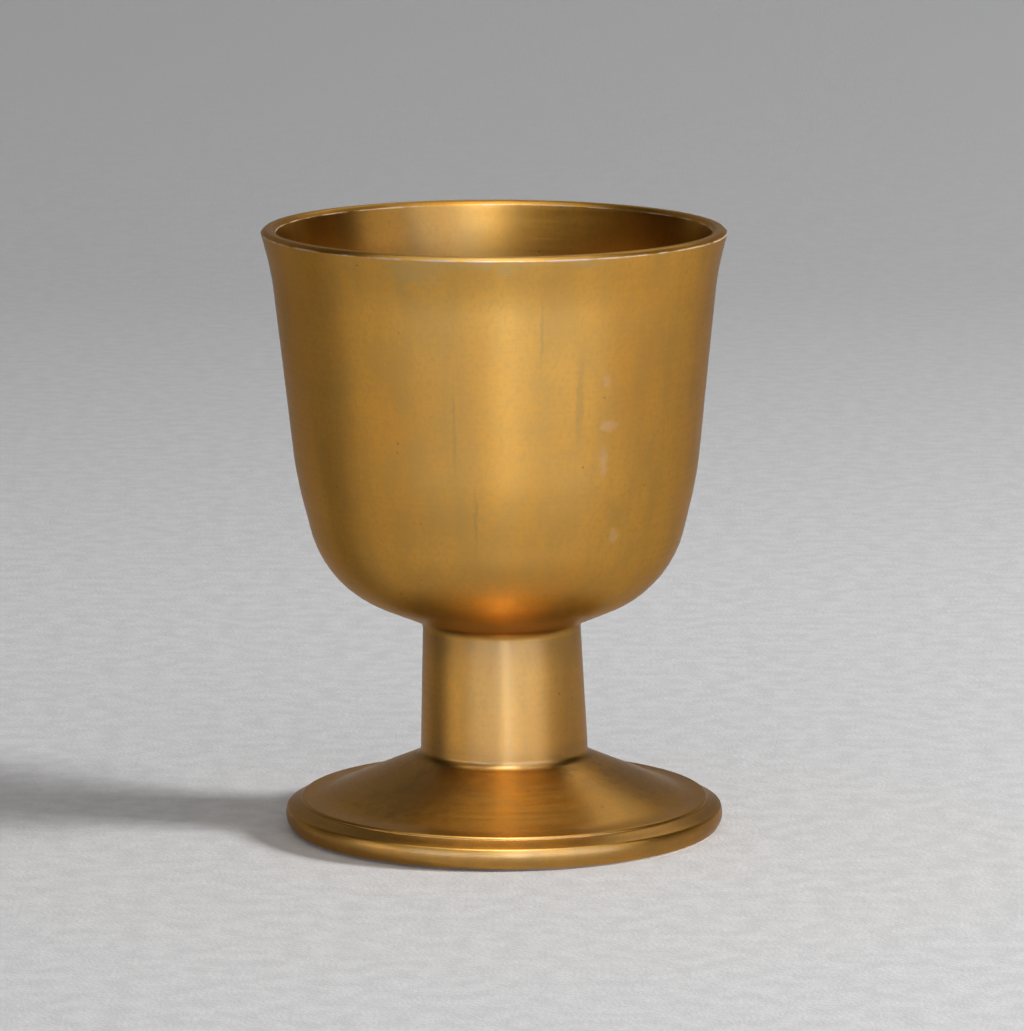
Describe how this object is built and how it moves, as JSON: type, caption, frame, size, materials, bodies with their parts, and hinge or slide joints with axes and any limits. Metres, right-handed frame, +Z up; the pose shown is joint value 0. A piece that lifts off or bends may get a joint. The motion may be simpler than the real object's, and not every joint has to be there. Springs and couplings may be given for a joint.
{
  "type": "stem cup",
  "caption": "Small footed drinking cup: a deep rounded bowl with a slightly flared lip on a short hollow stem and a low spreading foot, in porcelain with a gilt glaze.",
  "frame": {"origin": "middle of the flat foot ring, on the surface that the cup stands on", "axes": "+Z up along the cup's axis of turning, towards the mouth; X and Y lie in the table, and any turn about Z is alike"},
  "size_m": [0.0706, 0.0704, 0.0923],
  "materials": {
    "porcelain": "bare fired porcelain, fine and matt",
    "slip": "fired joining slip, matt",
    "gilt_glaze": "satin gilding over glaze, worn at the edges"
  },
  "bodies": {
    "root": {"bowl": "porcelain", "stem": "porcelain", "foot": "porcelain", "bowl_slip": "slip", "foot_slip": "slip", "bowl_glaze": "gilt_glaze", "stem_glaze": "gilt_glaze", "foot_glaze": "gilt_glaze"}
  },
  "joints": []
}
